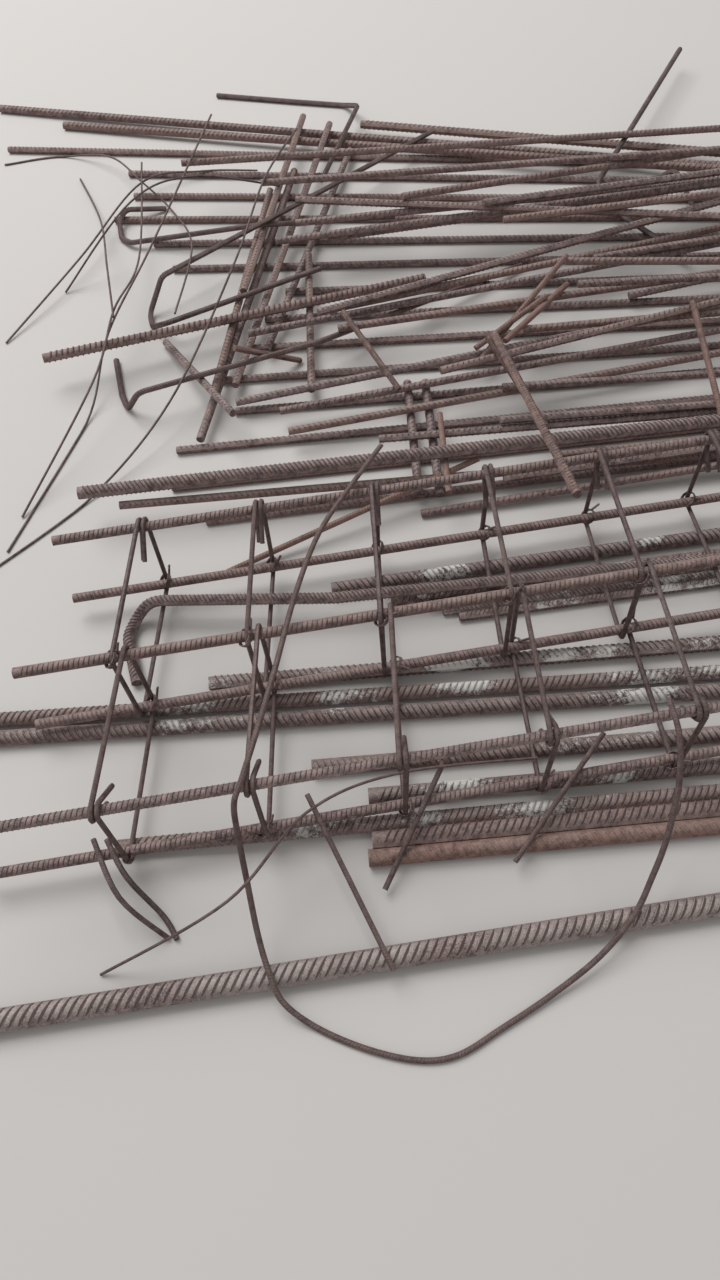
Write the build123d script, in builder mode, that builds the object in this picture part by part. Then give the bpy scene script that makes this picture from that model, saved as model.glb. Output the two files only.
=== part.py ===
"""Rebar bundle: a tied bar cage lying on heavy bars, with a heap of long bars behind it.

Millimetres. X runs along the cage, Y from its front to the back of the heap, Z is up
and the floor is z = 0. Places are laid out from the first stirrup station on the line of
the front cage bars, and moved so that the origin is the middle of the whole heap.
"""
import os
from math import atan, cos, hypot, radians, sin, sqrt

from build123d import *

os.makedirs("parts", exist_ok=True)

# Bars
stock_length = 3000          # length that the long bars are sold in
short_length = 2200          # bars whose left end lies well inside the heap
offcut_length = 1200
loose_wire = 5
thin_bar = 8                 # stirrups and the thin loose rods
bent_bar = 12                # hooked bars of the heap
main_bar = 16                # cage bars and most of the heap
thick_bar = 20
heavy_bar = 25
big_bar = 28
front_bar = 32
gap = 0.2                    # clearance where one bar rests on another

# Cage
bay = 240                    # from one row of cage bars to the next
cage_height = 160            # from the lower cage bars to the upper ones
station_pitch = 200
station_count = int((stock_length - station_pitch) / station_pitch)
stirrup_shift = 8            # each of a station's two stirrups from its middle
stirrup_lap = 4.5            # how far a stirrup's two ends stand aside of its plane
stirrup_skew = 0.2           # slant in plan of the first stirrups, which fades away
skewed_stations = 5
hook_tail = 60
tie_wire = 2

# Place of the first station's front corner in the frame of the whole heap
cage_x = -1264
cage_y = -920

eight_sided = 1.05                                  # corner radius for a round bar's area
sample_step = 12                                    # spacing of the heights tried along a bar
no_ceiling = 10000                                  # every laid bar may hold a dropped one up
mitre_room = 0.6                                    # for the corners of a bent bar's mitres
thin_side = thin_bar / 2 * eight_sided
leg_offset = main_bar / 2 + thin_side + gap         # from a cage bar to a stirrup leg
lower_bars = heavy_bar + gap + thin_side + leg_offset
upper_bars = lower_bars + cage_height

front_row = 0
middle_row = bay
back_row = 2 * bay


def place(x, y, z=0.0):
    """A point given from the first station's front corner."""
    return Vector(cage_x + x, cage_y + y, z)


laid = []                    # both ends and the diameter of each run laid so far


def lay_bar(start, end, diameter):
    """A straight round bar from one point to the other."""
    with BuildSketch(Plane(origin=start, z_dir=end - start)) as section:
        Circle(diameter / 2)
    extrude(section.sketch, amount=(end - start).length)
    laid.append((tuple(start), tuple(end), diameter))


def lay_flat_sided_bar(start, end, diameter):
    """A straight twelve-sided bar with its corners on the bar's own circle, one of them up."""
    along = end - start
    with BuildSketch(Plane(origin=start, x_dir=along.cross(Vector(0, 0, 1)), z_dir=along)) as section:
        RegularPolygon(diameter / 2, 12)
    extrude(section.sketch, amount=along.length)
    laid.append((tuple(start), tuple(end), diameter))


def lay_level_bar(left, crossing, slope, height, diameter, length=stock_length, lay=lay_bar):
    """A level bar, by its left end, its row at the first station and its slope."""
    right = left + length * cos(atan(slope))
    start = place(left, crossing + left * slope, height)
    end = place(right, crossing + right * slope, height)
    lay(start, end, diameter)


def lay_bent_bar(points, diameter, sides=8):
    """A bar with flat sides along straight runs."""
    with BuildLine() as route:
        Polyline(*points)
    with BuildSketch(Plane(origin=points[0], z_dir=points[1] - points[0])) as section:
        RegularPolygon(diameter / 2 * eight_sided, sides)
    sweep(section.sketch, path=route.wires()[0], transition=Transition.RIGHT)
    for start, end in zip(points, points[1:]):
        laid.append((tuple(start), tuple(end), diameter * eight_sided))


def rest(centre_height, support, bar, slope=0.0):
    """Height of a bar's middle where it crosses over another, both given by diameter."""
    return centre_height + (support / 2 + bar / 2 + gap) / cos(atan(slope))


# Settling: a bar is given by its place in plan, and drops on whatever lies there already

def height_over(x, y, run, reach):
    """Height at which a point in plan stands at a given distance from a laid run."""
    (x0, y0, z0), (x1, y1, z1), _ = run
    length = sqrt((x1 - x0) ** 2 + (y1 - y0) ** 2 + (z1 - z0) ** 2)
    rise = (z1 - z0) / length
    level = 1 - rise ** 2
    base = ((x - x0) * (x1 - x0) + (y - y0) * (y1 - y0)) / length
    aside = (x - x0) ** 2 + (y - y0) ** 2 - base ** 2
    root = (base * rise) ** 2 + level * (reach ** 2 - aside)
    if root >= 0 and level > 0.01:
        height = (base * rise + sqrt(root)) / level
        if 0 <= base + height * rise <= length:
            return z0 + height
    heights = [0.0]
    for corner_x, corner_y, corner_z in run[:2]:
        away = hypot(x - corner_x, y - corner_y)
        if away < reach:
            heights.append(corner_z + sqrt(reach ** 2 - away ** 2))
    return max(heights)


def shared_stretch(first, second, run, reach):
    """Part of a run in plan that a laid run may hold up, from and to."""
    length = hypot(second.X - first.X, second.Y - first.Y)
    step_x = (second.X - first.X) / length
    step_y = (second.Y - first.Y) / length
    (x0, y0, _), (x1, y1, _), _ = run
    run_length = hypot(x1 - x0, y1 - y0)
    # An upright run counts as one that lies square across
    run_x = (x1 - x0) / run_length if run_length > 1 else -step_y
    run_y = (y1 - y0) / run_length if run_length > 1 else step_x
    turn = step_x * run_y - step_y * run_x
    away = (x0 - first.X) * run_y - (y0 - first.Y) * run_x
    low, high = 0.0, length
    if abs(turn) > 0.001:
        low, high = sorted(((away - reach) / turn, (away + reach) / turn))
    elif abs(away) > reach:
        return 0.0, 0.0
    ends = [(x - first.X) * step_x + (y - first.Y) * step_y for x, y in ((x0, y0), (x1, y1))]
    return max(low, min(ends) - reach, 0.0), min(high, max(ends) + reach, length)


def needed_heights(first, second, diameter, ceiling):
    """Places along a run in plan, and the least height of its middle at each of them."""
    length = hypot(second.X - first.X, second.Y - first.Y)
    needed = {0.0: diameter / 2, length: diameter / 2}
    for run in laid:
        reach = (diameter + run[2]) / 2 + gap
        low, high = shared_stretch(first, second, run, reach)
        if low >= high or max(run[0][2], run[1][2]) > ceiling:
            continue
        samples = 6 + int((high - low) / sample_step)
        for sample in range(samples + 1):
            along = low + (high - low) * sample / samples
            x = first.X + (second.X - first.X) * along / length
            y = first.Y + (second.Y - first.Y) * along / length
            height = height_over(x, y, run, reach)
            needed[along] = max(height, needed.get(along, 0.0))
    return [(along / length, height) for along, height in sorted(needed.items())]


def settled(first, second, diameter, ceiling):
    """A straight bar's ends once it rests on two supports, one on each side of its middle."""
    edge = []
    for share, height in needed_heights(first, second, diameter, ceiling):
        while len(edge) > 1:
            (share_a, height_a), (share_b, height_b) = edge[-2:]
            if (height_b - height_a) * (share - share_a) > (height - height_a) * (share_b - share_a):
                break
            edge.pop()
        edge.append((share, height))
    for (share_a, height_a), (share_b, height_b) in zip(edge, edge[1:]):
        if share_a <= 0.5 <= share_b:
            slope = (height_b - height_a) / (share_b - share_a)
            left = height_a - slope * share_a
            return Vector(first.X, first.Y, left), Vector(second.X, second.Y, left + slope)


def draped(corners, diameter, ceiling):
    """A bent bar's corners once none of them can sink any lower."""
    runs = [needed_heights(first, second, diameter * eight_sided + mitre_room, ceiling)
            for first, second in zip(corners, corners[1:])]
    heights = [max(height for run in runs for _, height in run)] * len(corners)

    def clear(number):
        """Whether one run stands over all that lies under it."""
        if not 0 <= number < len(runs):
            return True
        left, right = heights[number:number + 2]
        return all(left + share * (right - left) >= height for share, height in runs[number])

    step = heights[0] / 4
    while step > gap / 4:
        moved = False
        for number in range(len(corners)):
            heights[number] -= step
            if clear(number - 1) and clear(number):
                moved = True
            else:
                heights[number] += step
        if not moved:
            step /= 2
    return [Vector(corner.X, corner.Y, height) for corner, height in zip(corners, heights)]


def drop_bar(start, end, diameter, ceiling=no_ceiling):
    """Lay a straight bar on what lies there, given in plan."""
    lay_flat_sided_bar(*settled(place(*start), place(*end), diameter, ceiling), diameter)


def drop_row_bar(left, row, slope, length, diameter=main_bar):
    """Lay a straight bar on what lies there, by its left end, its slope in plan and its length."""
    run = length * cos(atan(slope))
    drop_bar((left, row), (left + run, row + run * slope), diameter)


def drop_bent_bar(corners, diameter, ceiling=no_ceiling, sides=8):
    """Lay a bent bar on what lies there, given in plan."""
    route = draped([place(*corner) for corner in corners], diameter, ceiling)
    lay_bent_bar(route, diameter, sides)


def save(node, name):
    """Label one node and write its file."""
    node.part.label = name
    export_step(node.part, f"parts/{name}.step")


# Cage bars: row, height and left end of each

cage_bar_places = [
    (back_row, upper_bars, -105),
    (back_row, lower_bars, -120),
    (middle_row, upper_bars, -160),
    (middle_row, lower_bars, -180),
    (front_row, upper_bars, -230),
    (front_row, lower_bars, -260),
]

with BuildPart() as cage_bars:
    for row, height, left in cage_bar_places:
        lay_level_bar(left, row, 0, height, main_bar)
save(cage_bars, "cage_bars")


# Stirrups: two at each station, one round the rear bay and one round the front bay

def plan_slope(station):
    """Slant in plan of one station's stirrups."""
    return stirrup_skew * max(0.0, 1 - station / skewed_stations)


def stirrup_points(station, front):
    """The bent route of one stirrup, from one hooked end to the other."""
    side = -1 if front else 1
    outer_row = front_row if front else back_row
    rows = [outer_row, middle_row, middle_row, outer_row, outer_row]
    heights = [upper_bars, upper_bars, lower_bars, lower_bars, upper_bars]
    # Angles about each bar, from the outer side, at which the stirrup turns by 45 degrees
    turns = [[-22.5, 22.5, 67.5], [112.5, 157.5], [202.5, 247.5], [292.5, 337.5],
             [22.5, 67.5, 112.5]]
    corner = leg_offset / cos(radians(22.5))
    middle = station * station_pitch - side * stirrup_shift
    points = []
    for step, (row, height, angles) in enumerate(zip(rows, heights, turns)):
        lap = stirrup_lap * (step / 2 - 1)
        for angle in angles:
            y = row + side * corner * cos(radians(angle))
            x = middle + lap + (y - middle_row) * plan_slope(station)
            points.append(place(x, y, height + corner * sin(radians(angle))))
    inward = hook_tail * cos(radians(45))
    shift = Vector(-side * inward * plan_slope(station), -side * inward, -inward)
    return [points[0] + shift] + points + [points[-1] + shift]


for station in range(station_count):
    for front in (True, False):
        with BuildPart() as stirrup:
            lay_bent_bar(stirrup_points(station, front), thin_bar)
        name = "front_stirrup" if front else "rear_stirrup"
        save(stirrup, f"{name}_{station + 1:02d}")


# Tie wires: a ring round a cage bar and the upright leg of a stirrup

def tie_ring(x, row, height, side):
    """One six-sided ring, slanting at 45 degrees across the two that it holds."""
    inner = (main_bar + 2 * leg_offset + 2 * thin_side) / 4 + gap + 0.4 * tie_wire
    outer = inner + tie_wire
    centre = place(x, row + side * (leg_offset + thin_side - main_bar / 2) / 2, height)
    with BuildSketch(Plane(origin=centre, x_dir=(0, 1, 0), z_dir=(1, 0, -1))) as ring:
        RegularPolygon(outer, 6, major_radius=False)
        RegularPolygon(inner, 6, major_radius=False, mode=Mode.SUBTRACT)
    extrude(ring.sketch, amount=tie_wire / 2, both=True)


with BuildPart() as tie_wires:
    for station in range(station_count):
        for front in (True, False):
            side = -1 if front else 1
            outer_row = front_row if front else back_row
            middle = station * station_pitch - side * stirrup_shift
            outer_y = outer_row + side * leg_offset
            inner_y = middle_row - side * leg_offset
            outer_x = middle + stirrup_lap / 2 + (outer_y - middle_row) * plan_slope(station)
            inner_x = middle + (inner_y - middle_row) * plan_slope(station)
            inner_lap = 0 if front else -stirrup_lap / 2
            inner_height = lower_bars if front else upper_bars
            tie_ring(outer_x, outer_row, lower_bars, side)
            tie_ring(inner_x + inner_lap, middle_row, inner_height, -side)
save(tie_wires, "tie_wires")


# Heavy bars on the floor under the cage: left end, row at the first station, slope

under_bar_places = [
    (330, 440, -0.02),
    (430, 405, -0.03),
    (100, 291, -0.095),
    (-500, 250, -0.11),
    (-450, 215, -0.11),
    (250, 120, -0.09),
    (330, 62, -0.085),
    (-60, 15, -0.08),
]

with BuildPart() as heavy_bars:
    for left, row, slope in under_bar_places:
        lay_level_bar(left, row, slope, heavy_bar / 2, heavy_bar, lay=lay_flat_sided_bar)
save(heavy_bars, "heavy_bars")

edge_left, edge_row, edge_slope = under_bar_places[-1]
big_row = edge_row - (heavy_bar / 2 + big_bar / 2 + gap) / cos(atan(edge_slope))
red_row = big_row - (heavy_bar / 2 + big_bar / 2 + gap) / cos(atan(edge_slope))

with BuildPart() as big_ribbed_bar:
    lay_level_bar(324, big_row, edge_slope, big_bar / 2, big_bar)
save(big_ribbed_bar, "big_ribbed_bar")

with BuildPart() as red_heavy_bar:
    lay_level_bar(314, red_row, edge_slope, heavy_bar / 2, heavy_bar)
save(red_heavy_bar, "red_heavy_bar")

foreground_right = 2100
foreground_row = -208
foreground_slope = -0.015

with BuildPart() as foreground_bar:
    foreground_left = foreground_right - stock_length
    lay_level_bar(foreground_left, foreground_row, foreground_slope, front_bar / 2, front_bar)
save(foreground_bar, "foreground_bar")

# Three thinner bars side by side against the second heavy bar
side_bar_lefts = [490, 515, 540]
_, beside_row, beside_slope = under_bar_places[1]
touching = sqrt(heavy_bar * main_bar)    # between the middles of a heavy bar and one beside it

with BuildPart() as side_bars:
    for number, left in enumerate(side_bar_lefts):
        step = touching + number * (main_bar + gap)
        row = beside_row - step / cos(atan(beside_slope))
        lay_level_bar(left, row, beside_slope, main_bar / 2, main_bar, short_length)
save(side_bars, "side_bars")


# Heap behind the cage, from the floor up: left end, row and slope of each bar in plan

floor_rows = 14
row_starts = (640, 1900)     # rows at the first station, from the nearest to the farthest
row_ends = (540, 1120)       # the same rows at the right end of the cage
right_end = 2800
row_lefts = [120, 60, 75, 200, 180, 250, 290, 345, 100, 60, -30, 20, 10, -300]

with BuildPart() as heap_floor_bars:
    for number, left in enumerate(row_lefts):
        share = number / (floor_rows - 1)
        row = row_starts[0] + share * (row_starts[1] - row_starts[0])
        slope = (row_ends[0] + share * (row_ends[1] - row_ends[0]) - row) / right_end
        drop_row_bar(left, row + slope * left, slope, stock_length)
save(heap_floor_bars, "heap_floor_bars")

with BuildPart() as top_long_bars:
    drop_row_bar(-330, 2187, -0.416, stock_length, thick_bar)
    drop_row_bar(-155, 2060, -0.4, stock_length, thick_bar)
    drop_row_bar(612, 1848, -0.397, short_length, thick_bar)
save(top_long_bars, "top_long_bars")

cross_rod_places = [
    ((207, 970), (531, 1843)),
    ((125, 831), (420, 1690)),
    ((163, 936), (352, 1623)),
    ((253, 1231), (470, 1900)),
    ((283, 1060), (567, 1744)),
    ((70, 1150), (200, 830)),
    ((410, 1340), (360, 925)),
    ((555, 905), (522, 610)),
    ((591, 900), (560, 600)),
]

with BuildPart() as cross_rods:
    for start, end in cross_rod_places:
        drop_bar(start, end, main_bar)
save(cross_rods, "cross_rods")

hooked_bar_routes = [
    [(95, 1635), (0, 1620), (-18, 1590), (-16, 1540), (8, 1508), (300, 1440), (620, 1400)],
    [(780, 1754), (359, 1450), (82, 1287), (39, 1252), (44, 1208), (83, 1160), (428, 1268)],
    [(-39, 1119), (-29, 1009), (-18, 965), (16, 944), (393, 1015), (876, 1230)],
    [(258, 2113), (475, 2025), (589, 1981), (614, 1910), (477, 1608)],
    [(1484, 1951), (1115, 1445), (1104, 1408), (1234, 1159)],
    [(1108, 1406), (1274, 1465), (1304, 1459), (1313, 1330)],
]

for number, route in enumerate(hooked_bar_routes, 1):
    with BuildPart() as hooked_bar:
        drop_bent_bar(route, bent_bar)
    save(hooked_bar, f"hooked_bar_{number}")

top_bar_places = [
    (-31, 668, -0.07, short_length),
    (470, 745, -0.08, offcut_length),
    (805, 665, -0.07, offcut_length),
    (780, 640, -0.07, offcut_length),
    (835, 620, -0.06, offcut_length),
    (680, 600, -0.03, offcut_length),
    (520, 575, -0.02, offcut_length),
    (705, 735, -0.09, offcut_length),
    (205, 910, 0.05, stock_length),
    (300, 800, 0.05, stock_length),
    (250, 1080, 0.06, stock_length),
    (290, 865, 0.03, stock_length),
    (435, 1035, -0.01, short_length),
    (730, 820, -0.1, short_length),
    (795, 930, -0.05, short_length),
    (610, 845, 0.13, short_length),
    (915, 980, -0.07, short_length),
    (425, 1100, 0.1, short_length),
    (400, 1070, 0.22, short_length),
    (1005, 1140, -0.02, short_length),
    (1070, 1065, 0.02, short_length),
    (925, 1090, -0.25, offcut_length),
    (455, 1325, 0.0, short_length),
    (390, 1355, -0.04, short_length),
    (340, 1320, -0.02, short_length),
    (400, 1420, -0.3, short_length),
    (630, 1355, 0.08, short_length),
    (795, 1290, 0.03, short_length),
    (825, 1230, -0.05, short_length),
    (155, 1625, -0.04, short_length),
    (330, 1480, -0.1, short_length),
]

with BuildPart() as heap_top_bars:
    for left, row, slope, length in top_bar_places:
        drop_row_bar(left, row, slope, length)
save(heap_top_bars, "heap_top_bars")

with BuildPart() as thick_offcut:
    drop_bar((-174, 1080), (650, 1200), thick_bar)
save(thick_offcut, "thick_offcut")

short_rod_places = [
    ((150, 512), (640, 640)),
    ((710, 915), (925, 1090)),
    ((745, 880), (920, 1050)),
    ((712, 890), (785, 700)),
    ((596, 779), (567, 560)),
    ((1135, 915), (1105, 605)),
    ((450, 1060), (530, 860)),
    ((700, 930), (860, 1000)),
    ((220, 985), (350, 1035)),
]

with BuildPart() as short_rods:
    for start, end in short_rod_places:
        drop_bar(start, end, bent_bar)
save(short_rods, "short_rods")

with BuildPart() as back_heavy_bar:
    drop_row_bar(-100, 690, -0.0585, stock_length, heavy_bar)
save(back_heavy_bar, "back_heavy_bar")

with BuildPart() as leaning_rod:
    drop_bar((724, 885), (727, 378), main_bar)
save(leaning_rod, "leaning_rod")

inside_cage = upper_bars - 2 * main_bar

with BuildPart() as bent_heavy_bar:
    route = [(-21, 306), (-34, 400), (-20, 436), (14, 447), (330, 392), (1150, 335)]
    drop_bent_bar(route, thick_bar, inside_cage)
save(bent_heavy_bar, "bent_heavy_bar")

front_rod_places = [
    ((238, 35), (322, -235)),
    ((450, 45), (330, -115)),
    ((700, 49), (526, -110)),
]
front_strand_routes = [
    [(-86, 22), (-50, -73), (7, -128)],
    [(-66, 18), (-38, -45), (2, -95), (20, -132)],
]

with BuildPart() as front_rods:
    for start, end in front_rod_places:
        drop_bar(start, end, thin_bar, inside_cage)
    for route in front_strand_routes:
        drop_bent_bar(route, thin_bar, inside_cage)
save(front_rods, "front_rods")


# Long bent rod: over the cage, down its front, across the floor and up again

over_stirrups = upper_bars + leg_offset + 2 * thin_side + gap
over_front_bar = rest(front_bar / 2, front_bar, thin_bar * eight_sided, 0.5)
on_floor = thin_side
bent_rod_points = [
    place(447, 559, over_stirrups),
    place(380, 477, over_stirrups),
    place(320, 396, over_stirrups),
    place(270, 290, over_stirrups),
    place(222, 158, over_stirrups),
    place(185, 62, over_stirrups),
    place(160, 0, over_stirrups),
    place(146, -30, over_stirrups - 8),
    place(142, -60, 165),
    place(141, -100, 108),
    place(143, -160, 60),
    place(151, -210, over_front_bar),
    place(165, -250, 22),
    place(209, -289, on_floor),
    place(272, -326, on_floor),
    place(336, -350, on_floor),
    place(390, -352, on_floor),
    place(452, -330, on_floor),
    place(531, -299, 8),
    place(609, -262, 20),
    place(669, -218, over_front_bar),
    place(700, -180, 70),
    place(722, -145, 115),
    place(742, -95, 175),
    place(752, -40, over_stirrups - 6),
    place(756, 15, over_stirrups - 4),
]

with BuildPart() as long_bent_rod:
    lay_bent_bar(bent_rod_points, thin_bar)
save(long_bent_rod, "long_bent_rod")


# Loose wires: springy loops across the left end of the heap

loose_wire_routes = [
    [(-280, 1230), (-105, 1450), (45, 1710), (195, 1750), (330, 1720)],
    [(-310, 1925), (-155, 1925), (-30, 1840), (45, 1705), (110, 1615), (155, 1365), (105, 1145)],
    [(240, 1795), (75, 1320), (-35, 1110), (-105, 945), (-255, 640)],
    [(440, 1745), (340, 1480), (240, 1180), (75, 910), (-110, 730), (-300, 590)],
    [(50, 1775), (30, 1400), (-20, 1170), (-65, 965), (-230, 720)],
    [(-115, 1815), (-60, 1590), (-30, 1305), (-20, 1140)],
    [(-150, 1375), (35, 1475), (180, 1540), (375, 1590)],
]

for number, route in enumerate(loose_wire_routes, 1):
    with BuildPart() as wire:
        drop_bent_bar(route, loose_wire, sides=6)
    save(wire, f"loose_wire_{number}")

front_wire_route = [(-92, -163), (113, -127), (235, -20), (377, 30), (597, 40)]

with BuildPart() as front_wire:
    drop_bent_bar(front_wire_route, loose_wire, inside_cage, sides=6)
save(front_wire, "front_wire")
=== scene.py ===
"""Looks of a rebar bundle: ribbed bars, stirrups and tie wires, and the stage they lie on.

Metres. Every bar follows the line of its solid in the frame. Geometry Nodes give it its
round core, its two long ridges and its slanting ribs, and a rust finish covers it.
"""
from math import cos, pi, radians, sin, sqrt
from random import Random

import bmesh
import bpy
from mathutils import Matrix, Vector


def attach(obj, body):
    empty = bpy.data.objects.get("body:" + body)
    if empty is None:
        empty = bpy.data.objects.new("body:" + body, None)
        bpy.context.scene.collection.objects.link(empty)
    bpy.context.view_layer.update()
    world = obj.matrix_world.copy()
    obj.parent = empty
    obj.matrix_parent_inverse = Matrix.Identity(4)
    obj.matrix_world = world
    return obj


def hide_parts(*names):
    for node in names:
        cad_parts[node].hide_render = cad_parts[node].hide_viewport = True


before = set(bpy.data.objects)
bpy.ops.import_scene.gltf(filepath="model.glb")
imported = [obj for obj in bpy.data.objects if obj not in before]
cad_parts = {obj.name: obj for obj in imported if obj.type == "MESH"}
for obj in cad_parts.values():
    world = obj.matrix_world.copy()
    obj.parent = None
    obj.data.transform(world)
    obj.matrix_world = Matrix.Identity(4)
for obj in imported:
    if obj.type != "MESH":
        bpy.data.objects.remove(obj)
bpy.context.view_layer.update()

bl_info = {
    "name": "Rebar bundle",
    "version": (1, 0, 0),
    "blender": (4, 5, 0),
    "location": "View3D > Sidebar > Rebar",
    "description": "Dresses a bundle of reinforcing bar with ribs, ties, rust and dust",
    "category": "Object",
}


# Lines of the bars, read from the solids of the frame

# Corners that are nearer than this are one corner
WELD_DISTANCE = 1e-5

# A bar's end is narrower than this and has more corners than a flat side
WIDEST_END = 0.04
SIDE_CORNERS = 4

# Two normals point the same way where their product is over this
SAME_WAY = 0.9999


def order(element):
    """Sorts vertices or faces as their mesh has them, so that each run is the same."""
    return element.index


def spread_from(start, neighbours):
    """All that is reached from a start by going on from neighbour to neighbour."""
    reached = {start}
    waiting = [start]
    while waiting:
        for other in neighbours(waiting.pop()):
            if other not in reached:
                reached.add(other)
                waiting.append(other)
    return reached


def islands(shape):
    """Groups of joined vertices of one mesh."""
    seen = set()
    for start in shape.verts:
        if start not in seen:
            group = spread_from(start, lambda v: [e.other_vert(v) for e in v.link_edges])
            seen |= group
            yield sorted(group, key=order)


def flat_patch(face):
    """The faces that are joined to one face and lie in its plane."""
    def beside(current):
        near = (f for side in current.edges for f in side.link_faces)
        return [f for f in near if f.normal.dot(face.normal) > SAME_WAY]

    return sorted(spread_from(face, beside), key=order)


def end_cap(group):
    """Vertices and area of one flat end of a swept bar."""
    seen = set()
    for face in sorted({f for v in group for f in v.link_faces}, key=order):
        if face in seen:
            continue
        patch = flat_patch(face)
        seen.update(patch)
        corners = sorted({v for f in patch for v in f.verts}, key=order)
        width = max((v.co - corners[0].co).length for v in corners)
        if len(corners) > SIDE_CORNERS and width < WIDEST_END:
            return corners, sum(f.calc_area() for f in patch)
    raise RuntimeError("a bar has no flat end")


def middle(vertices):
    """Mean place of some vertices."""
    return sum((v.co for v in sorted(vertices, key=order)), Vector()) / len(vertices)


def by_place(point):
    """Sorts points by x, y and z, to a tenth of a millimetre."""
    return tuple(round(value, 4) for value in point)


def welded(node):
    """A copy of one node's mesh with its loose triangles joined."""
    shape = bmesh.new()
    shape.from_mesh(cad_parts[node].data)
    bmesh.ops.remove_doubles(shape, verts=shape.verts, dist=WELD_DISTANCE)
    shape.verts.index_update()
    shape.faces.index_update()
    return shape


def bar_lines(node):
    """The middle line and radius of each bar of one node."""
    shape = welded(node)
    lines = []
    for group in islands(shape):
        ring, area = end_cap(group)
        seen = set(ring)
        points = [middle(ring)]

        # From ring to ring of corners, up to the other end
        while True:
            ring = {e.other_vert(v) for v in ring for e in v.link_edges} - seen
            if not ring:
                break
            seen |= ring
            points.append(middle(ring))
        if points[0].x > points[-1].x:
            points.reverse()
        lines.append((points, sqrt(area / pi)))
    shape.free()
    return sorted(lines, key=lambda line: by_place(line[0][0]))


def placed(name, data):
    """A new object in the scene."""
    obj = bpy.data.objects.new(name, data)
    bpy.context.scene.collection.objects.link(obj)
    return obj


def object_of(name, points, edges=(), faces=()):
    """A new object of points, edges and faces."""
    mesh = bpy.data.meshes.new(name)
    mesh.from_pydata(points, edges, faces)
    return placed(name, mesh)


def line_object(name, lines):
    """An object of loose edges along the bars, with each bar's radius on its points."""
    points = []
    edges = []
    radii = []
    for line, radius in lines:
        first = len(points)
        points += line
        radii += [radius] * len(line)
        edges += [(i, i + 1) for i in range(first, len(points) - 1)]
    obj = object_of(name, points, edges)
    obj.data.attributes.new("bar_radius", "FLOAT", "POINT").data.foreach_set("value", radii)
    return obj


def ring_object(name, node, seed):
    """A point in the middle of each ring of a node, and the angles its tie is turned by."""
    near_zero = 0.01
    swing = 0.9
    dice = Random(seed)
    shape = welded(node)
    places = []
    turns = []
    for group in sorted(islands(shape), key=lambda group: by_place(middle(group))):
        # Each ring leans at 45 degrees, which tells its axis from its other flat sides
        flats = [f.normal for v in group for f in v.link_faces if abs(f.normal.y) < near_zero]
        axis = next(n for n in flats if abs(n.x + n.z) < near_zero)
        upward = Vector((0, 1, 0)).cross(axis)
        upward = upward if upward.z > 0 else -upward
        out = Matrix.Rotation(dice.uniform(-swing, swing), 3, axis) @ upward
        turn = Matrix((out, axis.cross(out), axis)).transposed()
        places.append(middle(group))
        turns += list(turn.to_euler())
    shape.free()
    obj = object_of(name, places)
    obj.data.attributes.new("ring_turn", "FLOAT_VECTOR", "POINT").data.foreach_set("vector", turns)
    return obj


# Node trees

class Tree:
    """Short ways to add and join the nodes of one tree."""

    def __init__(self, tree):
        self.tree = tree

    def add(self, kind, *values, **settings):
        """A node with its settings, and with values or outputs for its inputs in order."""
        node = self.tree.nodes.new(kind)
        for key, value in settings.items():
            setattr(node, key, value)
        shown = [s for s in node.inputs if s.enabled]
        for socket, value in zip(shown, values):
            self.put(socket, value)
        return node

    def put(self, socket, value):
        """Gives an input a value, or joins it to an output."""
        if value is None:
            return
        if isinstance(value, bpy.types.NodeSocket):
            self.tree.links.new(value, socket)
        else:
            socket.default_value = value

    def math(self, operation, *values):
        """The result of one operation on numbers."""
        return self.add("ShaderNodeMath", *values, operation=operation).outputs[0]

    def product(self, first, *values):
        """Values multiplied one after the other."""
        for value in values:
            first = self.math("MULTIPLY", first, value)
        return first

    def total(self, first, *values):
        """Values added one after the other."""
        for value in values:
            first = self.math("ADD", first, value)
        return first

    def out(self, kind, *values, **settings):
        """The first shown output of a new node."""
        node = self.add(kind, *values, **settings)
        return next(s for s in node.outputs if s.enabled)


def new_tree(name, kind, inputs, outputs):
    """An empty tree with named inputs and outputs."""
    tree = bpy.data.node_groups.new(name, kind)
    for label, socket, default in inputs:
        made = tree.interface.new_socket(label, in_out="INPUT", socket_type=socket)
        if default is not None:
            made.default_value = default
    for label, socket in outputs:
        tree.interface.new_socket(label, in_out="OUTPUT", socket_type=socket)
    return tree


def random_value(t, high, bar, seed):
    """A random number for each bar, from nothing up to the highest."""
    return t.out("FunctionNodeRandomValue", 0.0, high, bar, seed, data_type="FLOAT")


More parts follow.
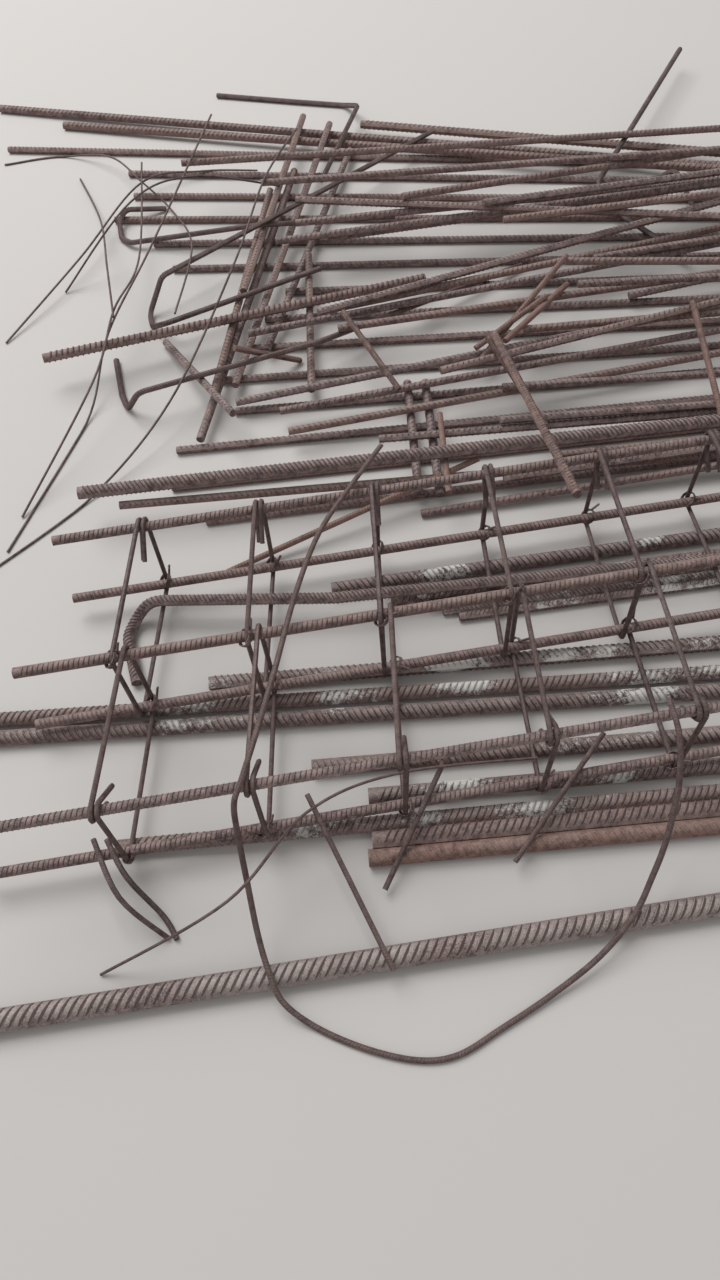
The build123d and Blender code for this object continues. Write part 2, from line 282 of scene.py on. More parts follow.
def ribbed_bar_tree():
    """Turns loose edges into ribbed bars, each as thick as its points' bar_radius.

    Rib, ridge and core sizes are shares of that radius, and the settings give those without
    a value here.
    """
    tree = new_tree(
        "Ribbed bar",
        "GeometryNodeTree",
        [
            ("Geometry", "NodeSocketGeometry", None),
            ("Sides", "NodeSocketInt", 20),
            ("Bend Radius", "NodeSocketFloat", 0.0),
            ("Bend Steps", "NodeSocketInt", 4),
            ("Springy", "NodeSocketBool", False),
            ("Level", "NodeSocketBool", True),
            ("Turn", "NodeSocketFloat", 0.5 * pi),
            ("Turn Spread", "NodeSocketFloat", 0.5),
            ("Turned Over", "NodeSocketFloat", 0.5),
            ("Ribbed", "NodeSocketBool", True),
            ("Pitch Base", "NodeSocketFloat", None),
            ("Pitch Share", "NodeSocketFloat", None),
            ("Rib Points", "NodeSocketInt", 6),
            ("Rib Height", "NodeSocketFloat", None),
            ("Rib Width", "NodeSocketFloat", None),
            ("Rib Lean", "NodeSocketFloat", None),
            ("Ridge Height", "NodeSocketFloat", None),
            ("Core", "NodeSocketFloat", 0.96),
            ("Seed", "NodeSocketInt", 1),
            ("Material", "NodeSocketMaterial", None),
        ],
        [("Geometry", "NodeSocketGeometry")],
    )
    t = Tree(tree)
    given = t.add("NodeGroupInput").outputs
    curve = t.out("GeometryNodeMeshToCurve", given["Geometry"])
    fillet = t.add("GeometryNodeFilletCurve", curve, mode="POLY")
    t.put(fillet.inputs["Radius"], given["Bend Radius"])
    t.put(fillet.inputs["Count"], given["Bend Steps"])
    t.put(fillet.inputs["Limit Radius"], True)

    # A springy rod bows smoothly through its points, and a bent one has tight corners
    bowed = t.out("GeometryNodeCurveSplineType", curve, spline_type="CATMULL_ROM")
    bowed = t.out("GeometryNodeSetSplineResolution", bowed, None, given["Bend Steps"])
    curve = t.out("GeometryNodeSwitch", given["Springy"], fillet.outputs[0], bowed,
                  input_type="GEOMETRY")
    curve = t.out("GeometryNodeResampleCurve", curve, mode="EVALUATED")

    # The line stays a radius over the floor
    thick = t.out("GeometryNodeInputNamedAttribute", "bar_radius", data_type="FLOAT")
    parts = t.add("ShaderNodeSeparateXYZ", t.out("GeometryNodeInputPosition")).outputs
    above = t.math("MAXIMUM", parts["Z"], thick)
    above = t.out("ShaderNodeCombineXYZ", parts["X"], parts["Y"], above)
    curve = t.out("GeometryNodeSetPosition", curve, None, above)

    # Each bar is turned about its own line by its own angle, and has its own tone
    over_seed = t.total(given["Seed"], 3)
    tone_seed = t.total(given["Seed"], 7)
    index = t.out("GeometryNodeInputIndex")
    bar = t.out("GeometryNodeFieldOnDomain", index, domain="CURVE", data_type="INT")
    swing = t.math("SUBTRACT", random_value(t, 2.0, bar, given["Seed"]), 1.0)
    over = t.math("LESS_THAN", random_value(t, 1.0, bar, over_seed), given["Turned Over"])
    turn = t.total(t.product(swing, given["Turn Spread"]), given["Turn"], t.product(over, pi))
    tone = random_value(t, 1.0, bar, tone_seed)
    curve = t.out("GeometryNodeSetCurveNormal", curve, given["Level"], mode="Z_UP")
    curve = t.out("GeometryNodeSetCurveTilt", curve, None, turn)
    curve = t.out("GeometryNodeStoreNamedAttribute", curve, None, "bar_tone", tone,
                  data_type="FLOAT", domain="POINT")

    # The core, with a ridge on each side of its section
    nearly_all = 0.99
    ridged = t.product(given["Ridge Height"], given["Ribbed"])
    section = t.out("GeometryNodeCurvePrimitiveCircle", given["Sides"], given["Core"], mode="RADIUS")
    across = parts["Y"]
    top = t.math("GREATER_THAN", t.math("ABSOLUTE", across), t.product(given["Core"], nearly_all))
    ridge = t.out("ShaderNodeCombineXYZ", 0.0, t.product(t.math("SIGN", across), ridged), 0.0)
    section = t.out("GeometryNodeSetPosition", section, top, None, ridge)
    core = t.out("GeometryNodeCurveToMesh", curve, section, thick, True)

    # One rib on each half of the section, between the ridges, the second a little further along
    reach = 0.4 * pi
    stagger = 0.6
    halves = t.add("GeometryNodeJoinGeometry")
    for half_turn, ahead in ((0.0, 0.0), (pi, stagger)):
        arc = t.out("GeometryNodeCurveArc", given["Rib Points"], given["Core"], half_turn - reach,
                    2 * reach, mode="RADIUS")
        slant = t.total(t.product(across, given["Rib Lean"]), ahead)
        slant = t.out("ShaderNodeCombineXYZ", 0.0, 0.0, slant)
        arc = t.out("GeometryNodeSetPosition", arc, None, None, slant)
        tree.links.new(arc, halves.inputs[0])

    # A rib's section is a tooth, marked 1 along its crest, where the colour gets a painted highlight,
    # and below nothing at its two feet, where the colour gets painted shade, and it shrinks to a point
    # at both ends of the rib
    tooth_corners = 3
    crest_mark = 1.0
    foot_shade_mark = -3.0
    roundness = 0.5
    weld = 0.002
    tooth = t.out("GeometryNodeCurvePrimitiveCircle", tooth_corners, 1.0, mode="RADIUS")
    crest = t.out("ShaderNodeMapRange", index, 0.0, 1.0, crest_mark, foot_shade_mark)
    tooth = t.out("GeometryNodeStoreNamedAttribute", tooth, None, "crest", crest,
                  data_type="FLOAT", domain="POINT")
    tooth = t.add("GeometryNodeTransform", tooth)
    size = t.out("ShaderNodeCombineXYZ", given["Rib Height"], given["Rib Width"], 1.0)
    t.put(tooth.inputs["Scale"], size)
    factor = t.add("GeometryNodeSplineParameter").outputs["Factor"]
    swell = t.math("POWER", t.math("SINE", t.product(factor, pi)), roundness)
    rib = t.out("GeometryNodeCurveToMesh", halves.outputs[0], tooth.outputs[0], swell, True)
    rib = t.out("GeometryNodeMergeByDistance", rib, None, weld)

    # Ribs all along each bar, but for a little at its ends
    bare_end = 1.2
    length = t.add("GeometryNodeSplineLength").outputs["Length"]
    bare = t.math("DIVIDE", t.product(thick, bare_end), length)
    trimmed = t.out("GeometryNodeTrimCurve", curve, None, bare, t.math("SUBTRACT", 1.0, bare),
                    mode="FACTOR")
    pitch = t.total(given["Pitch Base"], t.product(given["Pitch Share"], thick))
    spread = t.add("GeometryNodeCurveToPoints", trimmed, mode="LENGTH")
    t.put(spread.inputs["Length"], pitch)
    ribs = t.out("GeometryNodeInstanceOnPoints", spread.outputs["Points"], None, rib, None, None,
                 spread.outputs["Rotation"], thick)
    ribs = t.out("GeometryNodeSwitch", given["Ribbed"], None, ribs, input_type="GEOMETRY")

    # Edges that bend more than this stay sharp
    sharp = 0.75
    whole = t.add("GeometryNodeJoinGeometry")
    tree.links.new(core, whole.inputs[0])
    tree.links.new(ribs, whole.inputs[0])
    mesh = t.out("GeometryNodeRealizeInstances", whole.outputs[0])
    creased = t.math("GREATER_THAN", t.add("GeometryNodeInputMeshEdgeAngle").outputs[0], sharp)
    mesh = t.out("GeometryNodeSetShadeSmooth", mesh, None, True, domain="FACE")
    mesh = t.out("GeometryNodeSetShadeSmooth", mesh, creased, False, domain="EDGE")
    mesh = t.out("GeometryNodeSetMaterial", mesh, None, given["Material"])
    t.add("NodeGroupOutput", mesh)
    return tree


def tie_wire_tree():
    """Turns of wire and a twisted tail at each point, turned by the point's ring_turn.

    The settings give the sizes without a value here.
    """
    tree = new_tree(
        "Tie wire",
        "GeometryNodeTree",
        [
            ("Geometry", "NodeSocketGeometry", None),
            ("Wire Radius", "NodeSocketFloat", None),
            ("Turns", "NodeSocketFloat", 3.3),
            ("Ring Radius", "NodeSocketFloat", None),
            ("Tail Length", "NodeSocketFloat", None),
            ("Tail Twists", "NodeSocketFloat", 3.5),
            ("Material", "NodeSocketMaterial", None),
        ],
        [("Geometry", "NodeSocketGeometry")],
    )
    t = Tree(tree)
    given = t.add("NodeGroupInput").outputs
    wires = t.add("GeometryNodeJoinGeometry")

    # The turns climb by a few wire radii and open a little
    climb = 6.0
    opening = 1.04
    turn_points = 12
    wider = t.product(given["Ring Radius"], opening)
    height = t.product(given["Wire Radius"], climb)
    turns = t.out("GeometryNodeCurveSpiral", turn_points, given["Turns"], given["Ring Radius"],
                  wider, height, False)
    tree.links.new(turns, wires.inputs[0])

    # Two strands, twisted together, stand out from the turns and lean a little
    twist_points = 6
    lean = 0.4
    root = 0.97
    for half_turn in (0.0, pi):
        strand = t.out("GeometryNodeCurveSpiral", twist_points, given["Tail Twists"],
                       given["Wire Radius"], given["Wire Radius"], given["Tail Length"], False)
        turned = t.add("GeometryNodeTransform", strand)
        t.put(turned.inputs["Rotation"], (0.0, 0.0, half_turn))
        out = t.add("GeometryNodeTransform", turned.outputs[0])
        t.put(out.inputs["Rotation"], (0.0, 0.5 * pi - lean, 0.0))
        away = t.out("ShaderNodeCombineXYZ", t.product(given["Ring Radius"], root), 0.0, 0.0)
        t.put(out.inputs["Translation"], away)
        tree.links.new(out.outputs[0], wires.inputs[0])

    wire_sides = 5
    section = t.out("GeometryNodeCurvePrimitiveCircle", wire_sides, given["Wire Radius"], mode="RADIUS")
    tie = t.out("GeometryNodeCurveToMesh", wires.outputs[0], section, None, True)
    turn = t.out("GeometryNodeInputNamedAttribute", "ring_turn", data_type="FLOAT_VECTOR")
    turn = t.out("FunctionNodeEulerToRotation", turn)
    points = t.out("GeometryNodeMeshToPoints", given["Geometry"])
    ties = t.out("GeometryNodeInstanceOnPoints", points, None, tie, None, None, turn)
    mesh = t.out("GeometryNodeRealizeInstances", ties)
    mesh = t.out("GeometryNodeSetShadeSmooth", mesh, None, True, domain="FACE")
    mesh = t.out("GeometryNodeSetMaterial", mesh, None, given["Material"])
    t.add("NodeGroupOutput", mesh)
    return tree


def baked(obj, tree, name, **inputs):
    """The plain mesh that a node tree makes of an object, as a finished piece."""
    modifier = obj.modifiers.new(tree.name, "NODES")
    modifier.node_group = tree
    for item in tree.interface.items_tree:
        key = item.name.lower().replace(" ", "_")
        if item.item_type == "SOCKET" and item.in_out == "INPUT" and key in inputs:
            modifier[item.identifier] = inputs[key]
    depsgraph = bpy.context.evaluated_depsgraph_get()
    mesh = bpy.data.meshes.new_from_object(obj.evaluated_get(depsgraph), depsgraph=depsgraph)
    mesh.name = name
    bpy.data.objects.remove(obj)
    return placed(name, mesh)


def finished(piece, slot, *nodes):
    """Puts a piece on the heap's body in place of its solids."""
    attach(piece, "root")
    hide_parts(*nodes)


# Finishes

def mixed(t, share, first, second):
    """One colour turned into another by a share."""
    return t.out("ShaderNodeMix", share, first, second, data_type="RGBA")


def noise(t, where, scale, detail, rough):
    """A noise over the surface, finer for a larger scale."""
    return t.out("ShaderNodeTexNoise", where, scale, detail, rough)


def rust_group():
    """Rust, rib crests lightened by wear and by a painted highlight, painted shade along the feet of
    the ribs, fallen dust and clinging mortar, and the grain of the skin.

    The settings give the colours, and each material the amounts without a value here.
    """
    tree = new_tree(
        "Rust and dust",
        "ShaderNodeTree",
        [
            ("Dark", "NodeSocketColor", None),
            ("Light", "NodeSocketColor", None),
            ("Rust", "NodeSocketColor", None),
            ("Dust", "NodeSocketColor", None),
            ("Mortar", "NodeSocketColor", None),
            ("Rust Amount", "NodeSocketFloat", None),
            ("Dust Amount", "NodeSocketFloat", None),
            ("Mortar Amount", "NodeSocketFloat", 0.0),
            ("Mortar Row", "NodeSocketFloat", -0.66),
            ("Mortar Start", "NodeSocketFloat", -1.25),
            # How much the rib crests are lightened, by wear and as a painted highlight
            ("Wear", "NodeSocketFloat", None),
            # How dark the painted shade along the feet of the ribs is
            ("Foot Amount", "NodeSocketFloat", 0.85),
        ],
        [("Color", "NodeSocketColor"), ("Roughness", "NodeSocketFloat"), ("Height", "NodeSocketFloat")],
    )
    t = Tree(tree)
    given = t.add("NodeGroupInput").outputs
    where = t.add("ShaderNodeTexCoord").outputs["Object"]
    tone = t.add("ShaderNodeAttribute", attribute_name="bar_tone").outputs["Fac"]
    crest = t.add("ShaderNodeAttribute", attribute_name="crest").outputs["Fac"]

    def remap(value, low, high):
        """A value from nothing at the low end of a range to one at its high end."""
        return t.out("ShaderNodeMapRange", value, low, high, 0.0, 1.0)

    def blend(first, second, share):
        """A share of the first value, and the rest of the second."""
        return t.total(t.product(first, share), t.product(second, 1 - share))

    def stir(value, amount):
        """How far a noise is from its middle value, times an amount."""
        return t.product(t.math("SUBTRACT", value, 0.5), amount)

    def at_least_none(value):
        """A value, or nothing where it is negative."""
        return t.math("MAXIMUM", value, 0.0)

    def at_most_all(value):
        """A value, or one where it is more."""
        return t.math("MINIMUM", value, 1.0)

    grain = noise(t, where, scale=420.0, detail=4.0, rough=0.65)
    blotch = noise(t, where, scale=80.0, detail=6.0, rough=0.72)
    patch = noise(t, where, scale=9.0, detail=4.0, rough=0.55)
    crust = noise(t, where, scale=7.0, detail=2.0, rough=0.5)
    facing = t.add("ShaderNodeNewGeometry").outputs["Normal"]
    facing = t.add("ShaderNodeSeparateXYZ", facing).outputs["Z"]

    # Mill skin, lighter on the crests of the ribs, partly from wear and partly as a painted highlight
    skin_gain = 0.8
    wear_and_highlight_gain = 0.45
    wear_and_highlight_start = 0.1
    skin = remap(blend(blotch, grain, share=0.65), low=0.4, high=0.61)
    crown = at_least_none(crest)
    # Painted highlight, with some wear: the crests of the ribs are made lighter
    worn = t.product(t.math("SUBTRACT", crown, wear_and_highlight_start), given["Wear"], wear_and_highlight_gain)
    shade = at_least_none(t.total(t.product(skin, skin_gain), worn))
    colour = mixed(t, at_most_all(shade), given["Dark"], given["Light"])

    # Rust in large patches, and more of it on some bars than on others
    spread = t.total(blend(patch, tone, share=0.6), stir(blotch, amount=0.6))
    rusty = t.product(remap(spread, low=0.3, high=0.75), given["Rust Amount"])
    colour = mixed(t, at_most_all(rusty), colour, given["Rust"])

    # Dust on what looks upwards
    upward = remap(facing, low=0.1, high=0.95)
    drift = remap(blend(patch, grain, share=0.5), low=0.35, high=0.65)
    fallen = t.product(upward, drift, given["Dust Amount"])
    colour = mixed(t, at_most_all(fallen), colour, given["Dust"])

    # Painted shade: dark lines along both feet of each rib, where the ribs would shade the core
    foot_shade_gain = -1.5
    foot = at_most_all(at_least_none(t.product(crest, foot_shade_gain)))
    colour = mixed(t, t.product(foot, given["Foot Amount"]), colour, given["Dark"])

    # Mortar in crusts with broken edges, mostly on top, thin on the ribs and away from one row,
    # and none to the left of where it starts
    crown_loss = 0.06
    aside_loss = 0.45
    top_gain = 0.1
    foot_loss = 0.5
    broken = t.total(stir(blotch, amount=0.5), stir(grain, amount=0.3))
    crust = t.total(crust, broken, t.product(facing, top_gain))
    place = t.add("ShaderNodeSeparateXYZ", where).outputs
    aside = t.math("ABSOLUTE", t.math("SUBTRACT", place["Y"], given["Mortar Row"]))
    before = at_least_none(t.math("SUBTRACT", given["Mortar Start"], place["X"]))
    lost = t.total(t.product(crown, crown_loss), t.product(aside, aside_loss), before)
    crust = remap(t.math("SUBTRACT", crust, lost), low=0.57, high=0.63)
    # Mortar thins along the painted shade at the feet of the ribs
    kept = t.math("SUBTRACT", 1.0, t.product(foot, foot_loss))
    crust = t.product(crust, given["Mortar Amount"], kept)
    colour = mixed(t, crust, colour, given["Mortar"])

    # All of it is rough, mortar the most, and mortar stands proud of the skin
    plain_rough = 0.78
    crust_rough = 0.3
    crust_height = 1.5
    rough = blend(grain, plain_rough, share=0.3)
    rough = at_most_all(t.total(rough, t.product(crust, crust_rough)))
    height = t.total(blend(grain, blotch, share=0.6), t.product(crust, crust_height))
    t.add("NodeGroupOutput", colour, rough, height)


def steel_material(name, metallic, bump_height, **values):
    """Makes one kind of rusty steel, with its own colours and amounts of rust and dust."""
    bump_strength = 0.6
    material = bpy.data.materials.new(name)
    material.use_nodes = True
    t = Tree(material.node_tree)
    shader = material.node_tree.nodes["Principled BSDF"]
    group = t.add("ShaderNodeGroup", node_tree=bpy.data.node_groups["Rust and dust"])
    for key, value in values.items():
        t.put(group.inputs[key.replace("_", " ").title()], value)
    t.put(shader.inputs["Base Color"], group.outputs["Color"])
    t.put(shader.inputs["Roughness"], group.outputs["Roughness"])
    t.put(shader.inputs["Metallic"], metallic)
    bump = t.add("ShaderNodeBump")
    t.put(bump.inputs["Strength"], bump_strength)
    t.put(bump.inputs["Distance"], bump_height)
    t.put(bump.inputs["Height"], group.outputs["Height"])
    t.put(shader.inputs["Normal"], bump.outputs["Normal"])


# Sizes and colours that a user would change

class RebarRibs(bpy.types.PropertyGroup):
    """Sizes of the ribs, named as the inputs of their tree. Shares are of a bar's radius."""
    pitch_base: bpy.props.FloatProperty(
        name="Least pitch", description="Part of the rib pitch that is the same for every bar",
        default=0.0018, min=0.0, unit="LENGTH")
    pitch_share: bpy.props.FloatProperty(
        name="Pitch share", description="Part of the rib pitch that grows with the bar",
        default=0.72, min=0.1, max=3.0)
    rib_height: bpy.props.FloatProperty(
        name="Rib height", description="Share that a rib stands over the core",
        default=0.18, min=0.0, max=0.5)
    rib_width: bpy.props.FloatProperty(
        name="Rib width", description="Share that a rib's foot is to each side",
        default=0.26, min=0.02, max=1.0)
    rib_lean: bpy.props.FloatProperty(
        name="Rib lean", description="Run of a rib along the bar over one radius",
        default=0.6, min=0.0, max=2.0)
    ridge_height: bpy.props.FloatProperty(
        name="Ridge height", description="Share that the two long ridges stand over the core",
        default=0.12, min=0.0, max=0.5)


class RebarTies(bpy.types.PropertyGroup):
    """Sizes of the tie wires, named as the inputs of their tree."""
    wire_radius: bpy.props.FloatProperty(
        name="Wire radius", description="Radius of the tie wire", default=0.0012, min=0.0002,
        unit="LENGTH")
    ring_radius: bpy.props.FloatProperty(
        name="Ring radius", description="Radius of the turns round the two bars", default=0.0134,
        min=0.005, unit="LENGTH")
    tail_length: bpy.props.FloatProperty(
        name="Tail length", description="Length of the twisted tail", default=0.018, min=0.0,
        unit="LENGTH")


def colour_property(name, description, colour):
    """A colour that the user may change."""
    return bpy.props.FloatVectorProperty(
        name=name, description=description, subtype="COLOR", size=4, min=0, max=1, default=(*colour, 1))


class RebarFinish(bpy.types.PropertyGroup):
    """Colours of the steel and of what clings to it."""
    # Dark skin also colours the painted shade along the feet of the ribs
    dark: colour_property("Dark skin", "Colour of the mill skin", (0.05, 0.029, 0.028))
    # Light skin also colours the rib crests, partly as a painted highlight
    light: colour_property("Light skin", "Colour of worn skin", (0.38, 0.265, 0.25))
    thin_light: colour_property("Light skin of thin bars", "Colour of worn skin on the thin bars",
                                (0.17, 0.128, 0.122))
    rust: colour_property("Rust", "Colour of fresh rust", (0.23, 0.125, 0.1))
    dust: colour_property("Dust", "Colour of fallen dust", (0.4, 0.355, 0.33))
    cement: colour_property("Cement dust", "Colour of dust on the front bar", (0.5, 0.45, 0.42))
    mortar: colour_property("Mortar", "Colour of clinging mortar", (0.62, 0.6, 0.57))
    # Dark red rust also colours the painted shade along the feet of the ribs on the reddest bars
    red_dark: colour_property("Dark red rust", "Dark rust of the reddest bars", (0.1, 0.045, 0.035))
    rod_light: colour_property("Light rust of red rods", "Light rust of the thin red rods",
                               (0.3, 0.19, 0.165))
    red_light: colour_property("Light red rust", "Light rust of the reddest bars", (0.44, 0.28, 0.23))


class RebarStage(bpy.types.PropertyGroup):
    """Camera, floor and light."""
    camera_place: bpy.props.FloatVectorProperty(
        name="Camera place", description="Where the camera stands", subtype="TRANSLATION",
        unit="LENGTH", size=3, default=(-0.975, -1.460, 1.3925))
    camera_pitch: bpy.props.FloatProperty(
        name="Camera pitch", description="How far the camera looks down", subtype="ANGLE",
        default=radians(58))
    camera_roll: bpy.props.FloatProperty(
        name="Camera roll", description="How far the camera is turned about its view",
        subtype="ANGLE", default=radians(-5))
    camera_yaw: bpy.props.FloatProperty(
        name="Camera yaw", description="How far the camera looks to the right", subtype="ANGLE",
        default=radians(4.9))
    lens: bpy.props.FloatProperty(
        name="Lens", description="Focal length on a sensor 36 mm high", default=26.7, min=1.0)
    floor_size: bpy.props.FloatProperty(
        name="Floor size", description="Side of the floor", unit="LENGTH", default=40.0)
    floor: colour_property("Floor", "Colour of the floor", (0.55, 0.53, 0.51))
    backdrop: colour_property("Backdrop", "Colour seen behind the floor", (0.56, 0.55, 0.54))
    key_power: bpy.props.FloatProperty(
        name="Key lamp", description="Power of the large lamp", unit="POWER", default=620.0, min=0.0)
    key_size: bpy.props.FloatProperty(
        name="Key lamp size", description="Side of the large lamp", unit="LENGTH", default=6.0, min=0.1)
    key_place: bpy.props.FloatVectorProperty(
        name="Key lamp place", description="Where the large lamp hangs", subtype="TRANSLATION",
        unit="LENGTH", size=3, default=(-3.5, 4.0, 7.0))
    key_aim: bpy.props.FloatVectorProperty(
        name="Key lamp aim", description="The place that the large lamp looks at",
        subtype="TRANSLATION", unit="LENGTH", size=3, default=(-0.5, 0.0, 0.0))
    fill_strength: bpy.props.FloatProperty(
        name="Soft light", description="Strength of the light from all around", default=0.5, min=0.0)


def nodes_like(*starts):
    """Names of the nodes that begin in one of some ways."""
    return sorted(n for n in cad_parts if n.startswith(starts))


def sizes_of(settings):
    """The values of one group of settings, by name."""
    return {key: getattr(settings, key) for key in type(settings).__annotations__}


def dressed(node, material, slot, seed, **own):
    """Ribs and finishes one node's bars, some with their own values for the tree's inputs."""
    sizes = {**sizes_of(bpy.context.scene.rebar_ribs), **own}
    tree = bpy.data.node_groups.get("Ribbed bar") or ribbed_bar_tree()
    piece = baked(line_object(node + "_lines", bar_lines(node)), tree, node + "_ribbed",
                  seed=seed, material=bpy.data.materials[material], **sizes)
    finished(piece, slot, node)


class REBAR_OT_finishes(bpy.types.Operator):
    """Make the rust, dust and wire finishes"""
    bl_idname = "rebar.finishes"
    bl_label = "Make finishes"

    def execute(self, context):
        finish = context.scene.rebar_finish
        rust_group()
        common = dict(dark=finish.dark[:], light=finish.light[:], rust=finish.rust[:],
                      dust=finish.dust[:], mortar=finish.mortar[:])
        thin = dict(common, light=finish.thin_light[:])
        rod = dict(common, light=finish.rod_light[:])
        red = dict(common, dark=finish.red_dark[:], light=finish.red_light[:])
        cement = dict(common, dust=finish.cement[:])
        steel_material("Rusty steel", metallic=0.1, bump_height=0.0006,
                       rust_amount=0.45, dust_amount=0.4, wear=0.9, **common)
        steel_material("Dusty rusty steel", metallic=0.05, bump_height=0.0006,
                       rust_amount=0.6, dust_amount=0.4, wear=0.8, **common)
        steel_material("Cement dusted steel", metallic=0.05, bump_height=0.0008,
                       rust_amount=0.2, dust_amount=1.0, wear=0.75, **cement)
        steel_material("Steel with mortar", metallic=0.1, bump_height=0.0012,
                       rust_amount=0.35, dust_amount=0.6, wear=0.9, mortar_amount=1.0, **common)
        steel_material("Dark rusty steel", metallic=0.25, bump_height=0.0003,
                       rust_amount=0.2, dust_amount=0.15, wear=0.3, **thin)
        # The red bar gets less painted shade at the feet of its ribs
        steel_material("Red rusty steel", metallic=0.1, bump_height=0.0008,
                       rust_amount=0.8, dust_amount=0.35, wear=0.5, foot_amount=0.3, **red)
        steel_material("Dull red rusty steel", metallic=0.1, bump_height=0.0006,
                       rust_amount=0.9, dust_amount=0.15, wear=0.4, **rod)
        steel_material("Tie wire", metallic=0.4, bump_height=0.0002,
                       rust_amount=0.3, dust_amount=0.1, wear=0.0, **common)
        return {"FINISHED"}


class REBAR_OT_cage_bars(bpy.types.Operator):
    """Rib the straight bars of the cage"""
    bl_idname = "rebar.cage_bars"
    bl_label = "Cage bars"

    def execute(self, context):
        dressed("cage_bars", "Rusty steel", "rusty_steel", seed=11, turned_over=0.8, rib_lean=0.35)
        return {"FINISHED"}


class REBAR_OT_stirrups(bpy.types.Operator):
    """Rib and bend the stirrups"""
    bl_idname = "rebar.stirrups"
    bl_label = "Stirrups"

    def execute(self, context):
        for number, node in enumerate(nodes_like("front_stirrup", "rear_stirrup")):
            dressed(node, "Dark rusty steel", "rusty_steel", seed=31 + number, bend_radius=0.0124,
                    sides=12, rib_points=4, rib_height=0.12, level=False, turn=0.0, turn_spread=pi)
        return {"FINISHED"}


class REBAR_OT_heavy_bars(bpy.types.Operator):
    """Rib the heavy bars under, beside and in front of the cage"""
    bl_idname = "rebar.heavy_bars"
    bl_label = "Heavy bars"

    def execute(self, context):
        for number, node in enumerate(("heavy_bars", "side_bars")):
            dressed(node, "Steel with mortar", "rusty_steel", seed=71 + number)
        dressed("big_ribbed_bar", "Dusty rusty steel", "rusty_steel", seed=75, turned_over=0.0)
        dressed("foreground_bar", "Cement dusted steel", "rusty_steel", seed=81, turn_spread=0.1,
                turned_over=0.0, rib_points=8, rib_lean=0.7)
        for number, node in enumerate(("back_heavy_bar", "bent_heavy_bar")):
            dressed(node, "Rusty steel", "rusty_steel", seed=82 + number, bend_radius=0.05,
                    turned_over=1.0, pitch_share=0.56)
        dressed("red_heavy_bar", "Red rusty steel", "red_rusty_steel", seed=77, rib_height=0.08)
        return {"FINISHED"}


class REBAR_OT_heap_bars(bpy.types.Operator):
    """Rib the loose bars of the heap"""
    bl_idname = "rebar.heap_bars"
    bl_label = "Heap bars"

    def execute(self, context):
        rows = ("heap_floor_bars", "heap_top_bars", "top_long_bars", "cross_rods")
        for number, node in enumerate(rows):
            dressed(node, "Dusty rusty steel", "rusty_steel", seed=91 + number, rib_points=4,
                    pitch_base=0.0052, rib_height=0.2, rib_width=0.34)
        dressed("thick_offcut", "Dusty rusty steel", "rusty_steel", seed=95, pitch_base=0.0115,
                pitch_share=0.0, rib_height=0.26, rib_width=0.42, rib_lean=0.25, turn_spread=0.1)
        for number, node in enumerate(nodes_like("hooked_bar", "front_rods", "long_bent_rod")):
            dressed(node, "Dark rusty steel", "rusty_steel", seed=101 + number, bend_radius=0.025,
                    bend_steps=6, springy=not node.startswith("hooked"), sides=12, rib_points=4)
        for number, node in enumerate(("leaning_rod", "short_rods")):
            dressed(node, "Dull red rusty steel", "red_rusty_steel", seed=121 + number, rib_points=4)
        for number, node in enumerate(nodes_like("loose_wire", "front_wire")):
            dressed(node, "Dark rusty steel", "tie_wire", seed=131 + number, springy=True,
                    bend_steps=10, sides=10, ribbed=False)
        return {"FINISHED"}


class REBAR_OT_tie_wires(bpy.types.Operator):
    """Wind and twist a wire at each tie"""
    bl_idname = "rebar.tie_wires"
    bl_label = "Tie wires"

    def execute(self, context):
        places = ring_object("tie_places", "tie_wires", seed=5)
        piece = baked(places, tie_wire_tree(), "twisted_ties",
                      material=bpy.data.materials["Tie wire"], **sizes_of(context.scene.rebar_ties))
        finished(piece, "tie_wire", "tie_wires")
        return {"FINISHED"}


def lay_floor(stage):
    """Lays the pale floor."""
    half = stage.floor_size / 2
    corners = [(-half, -half, 0), (half, -half, 0), (half, half, 0), (-half, half, 0)]
    floor = object_of("floor", corners, faces=[(0, 1, 2, 3)])
    pale = bpy.data.materials.new("Pale floor")
    pale.use_nodes = True
    shader = pale.node_tree.nodes["Principled BSDF"]
    shader.inputs["Base Color"].default_value = stage.floor
    shader.inputs["Roughness"].default_value = 0.9
    floor.data.materials.append(pale)


def light_stage(stage):
    """Lights the stage softly from all around, and with one large lamp."""
    world = bpy.data.worlds.new("Soft studio")
    bpy.context.scene.world = world
    world.use_nodes = True
    t = Tree(world.node_tree)
    light = world.node_tree.nodes["Background"]
    light.inputs["Color"].default_value = (1, 1, 1, 1)
    light.inputs["Strength"].default_value = stage.fill_strength
    backdrop = t.out("ShaderNodeBackground", stage.backdrop[:], 1.0)
    seen = t.add("ShaderNodeLightPath").outputs
    shown = t.math("MAXIMUM", seen["Is Camera Ray"], seen["Is Glossy Ray"])
    shown = t.math("MAXIMUM", shown, seen["Is Transmission Ray"])
    both = t.out("ShaderNodeMixShader", shown, light.outputs[0], backdrop)
    t.put(world.node_tree.nodes["World Output"].inputs["Surface"], both)

    lamp = bpy.data.lights.new("key", "AREA")
    lamp.size = stage.key_size
    lamp.energy = stage.key_power
    key = placed("key", lamp)
    key.location = stage.key_place
    key.rotation_euler = (Vector(stage.key_aim) - key.location).to_track_quat("-Z", "Y").to_euler()


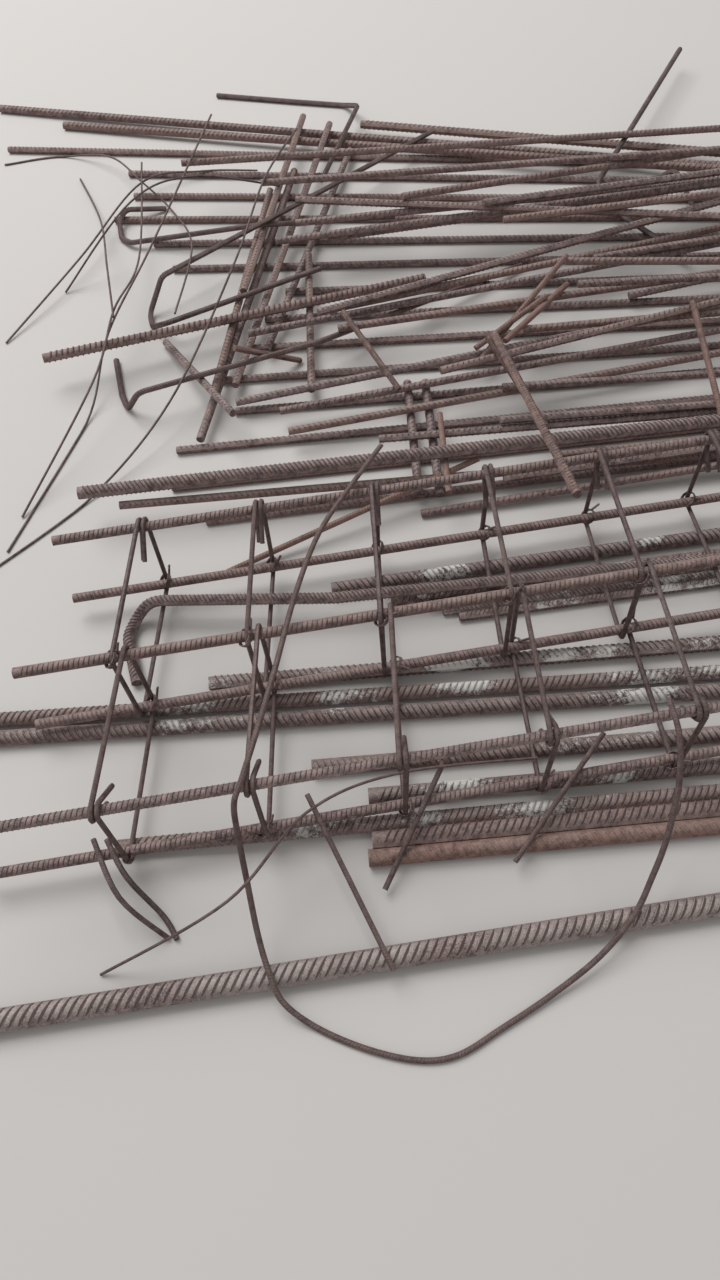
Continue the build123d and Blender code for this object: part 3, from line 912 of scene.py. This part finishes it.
def place_camera(stage):
    """Places the camera at the photograph's viewing angle."""
    camera = placed("camera", bpy.data.cameras.new("camera"))
    camera.data.sensor_fit = "VERTICAL"
    camera.data.sensor_height = 36
    camera.data.lens = stage.lens
    camera.data.clip_end = 100
    yaw, pitch, roll = stage.camera_yaw, stage.camera_pitch, stage.camera_roll
    ahead = Vector((sin(yaw) * cos(pitch), cos(yaw) * cos(pitch), -sin(pitch)))
    level = Vector((cos(yaw), -sin(yaw), 0))
    upright = level.cross(ahead)
    right = cos(roll) * level + sin(roll) * upright
    above = cos(roll) * upright - sin(roll) * level
    turned = Matrix((right, above, -ahead)).transposed().to_4x4()
    camera.matrix_world = Matrix.Translation(stage.camera_place) @ turned
    bpy.context.scene.camera = camera


class REBAR_OT_stage(bpy.types.Operator):
    """Lay the pale floor and place the lamp and camera"""
    bl_idname = "rebar.stage"
    bl_label = "Stage"

    def execute(self, context):
        stage = context.scene.rebar_stage
        lay_floor(stage)
        light_stage(stage)
        place_camera(stage)
        context.scene.view_settings.view_transform = "Standard"
        return {"FINISHED"}


# The panel, and the steps in the order that they run

OPERATORS = (REBAR_OT_finishes, REBAR_OT_cage_bars, REBAR_OT_stirrups, REBAR_OT_heavy_bars,
             REBAR_OT_heap_bars, REBAR_OT_tie_wires, REBAR_OT_stage)
SETTINGS = (("rebar_ribs", RebarRibs), ("rebar_ties", RebarTies), ("rebar_finish", RebarFinish),
            ("rebar_stage", RebarStage))


class REBAR_PT_panel(bpy.types.Panel):
    """Steps that dress the bundle"""
    bl_idname = "REBAR_PT_panel"
    bl_label = "Rebar bundle"
    bl_space_type = "VIEW_3D"
    bl_region_type = "UI"
    bl_category = "Rebar"

    def draw(self, context):
        for operator in OPERATORS:
            self.layout.operator(operator.bl_idname)
        for name, group in SETTINGS:
            box = self.layout.box()
            for key in group.__annotations__:
                box.prop(getattr(context.scene, name), key)


CLASSES = (*OPERATORS, *(kind for _, kind in SETTINGS), REBAR_PT_panel)


def register():
    for group in CLASSES:
        bpy.utils.register_class(group)
    for name, kind in SETTINGS:
        setattr(bpy.types.Scene, name, bpy.props.PointerProperty(type=kind))


def unregister():
    for name, _ in SETTINGS:
        delattr(bpy.types.Scene, name)
    for group in CLASSES:
        bpy.utils.unregister_class(group)


def main():
    register()
    for operator in OPERATORS:
        area, name = operator.bl_idname.split(".")
        getattr(getattr(bpy.ops, area), name)()


if __name__ == "__main__":
    main()
